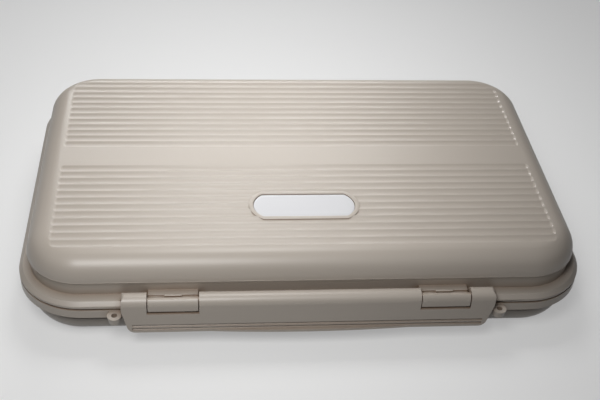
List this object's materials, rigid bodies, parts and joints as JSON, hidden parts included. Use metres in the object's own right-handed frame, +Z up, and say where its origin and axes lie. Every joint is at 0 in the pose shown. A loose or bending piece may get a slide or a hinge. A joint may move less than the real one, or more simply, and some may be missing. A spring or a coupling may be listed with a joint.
{
  "type": "fly box",
  "caption": "Flat clamshell fly box with fluted panels, a hinged lid, a long snap latch bar, a rim seal and rows of foam inside for the hooks.",
  "frame": {"origin": "on the flat underside, midway along the rims' length and midway across their width", "axes": "+X along the length, +Y from the latch to the hinge, +Z up through the closed lid"},
  "size_m": [0.1982, 0.1375, 0.0334],
  "materials": {
    "shell": "moulded, fine satin texture, warm grey tan",
    "latch": "moulded, fine satin texture, warm grey tan",
    "pin": "drawn steel wire",
    "seal": "soft black cord",
    "badge": "smooth, very light grey, left blank",
    "liner": "thin off-white sheet",
    "foam": "fine closed-cell foam, slit across the top"
  },
  "bodies": {
    "base": {"base_shell": "shell", "hinge_pin": "pin", "rim_seal": "seal", "base_liner": "liner", "base_foam_row_1": "foam", "base_foam_row_2": "foam", "base_foam_row_3": "foam", "base_foam_row_4": "foam", "base_foam_row_5": "foam", "base_foam_row_6": "foam", "base_foam_row_7": "foam"},
    "lid": {"lid_shell": "shell", "lid_liner": "liner", "badge_plate": "badge", "lid_foam_row_1": "foam", "lid_foam_row_2": "foam", "lid_foam_row_3": "foam", "lid_foam_row_4": "foam", "lid_foam_row_5": "foam", "lid_foam_row_6": "foam", "lid_foam_row_7": "foam"},
    "latch": {"latch_bar": "latch"}
  },
  "joints": [
    {"name": "lid_hinge", "type": "hinge", "parent": "base", "child": "lid", "pos_m": [0, 0.0668, 0.017], "axis": [-1, 0, 0], "range_deg": [0, 180]},
    {"name": "latch_hinge", "type": "hinge", "parent": "lid", "child": "latch", "pos_m": [0, -0.064, 0.0204], "axis": [-1, 0, 0], "range_deg": [0, 110]}
  ]
}
